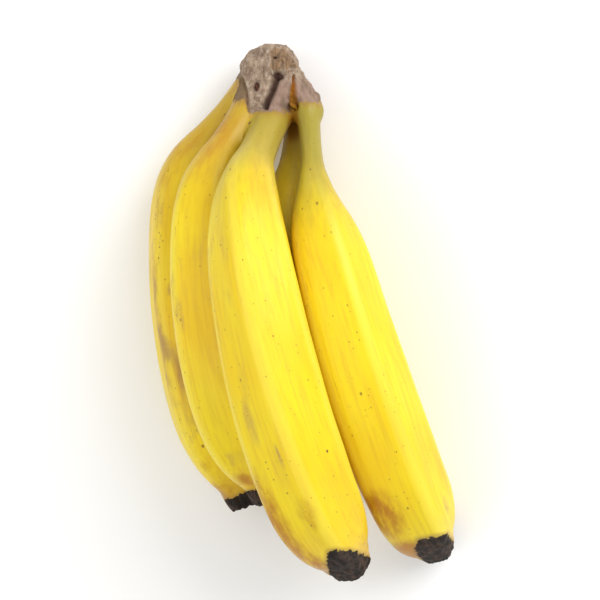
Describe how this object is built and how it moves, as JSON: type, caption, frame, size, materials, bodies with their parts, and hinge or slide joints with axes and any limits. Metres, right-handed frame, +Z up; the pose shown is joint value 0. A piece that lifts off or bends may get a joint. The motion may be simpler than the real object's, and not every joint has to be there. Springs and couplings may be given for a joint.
{
  "type": "hand of bananas",
  "caption": "Hand of ripe bananas: long curved ridged fingers fanned out from a corky cut crown, lying on a surface with its rounded front on top.",
  "frame": {"origin": "middle of the hand's bounding box in X and Y, at the level of the surface it lies on", "axes": "+Z up out of the surface, +Y along the hand from the tips of the fingers to the crown, +X to the right across the fan of fingers seen from above with the crown at the top"},
  "size_m": [0.13, 0.2182, 0.0984],
  "materials": {
    "banana_skin": "satin ripe peel, corky brown crown, black dry stubs at the tips"
  },
  "bodies": {
    "root": {"banana_hand": "banana_skin"}
  },
  "joints": []
}
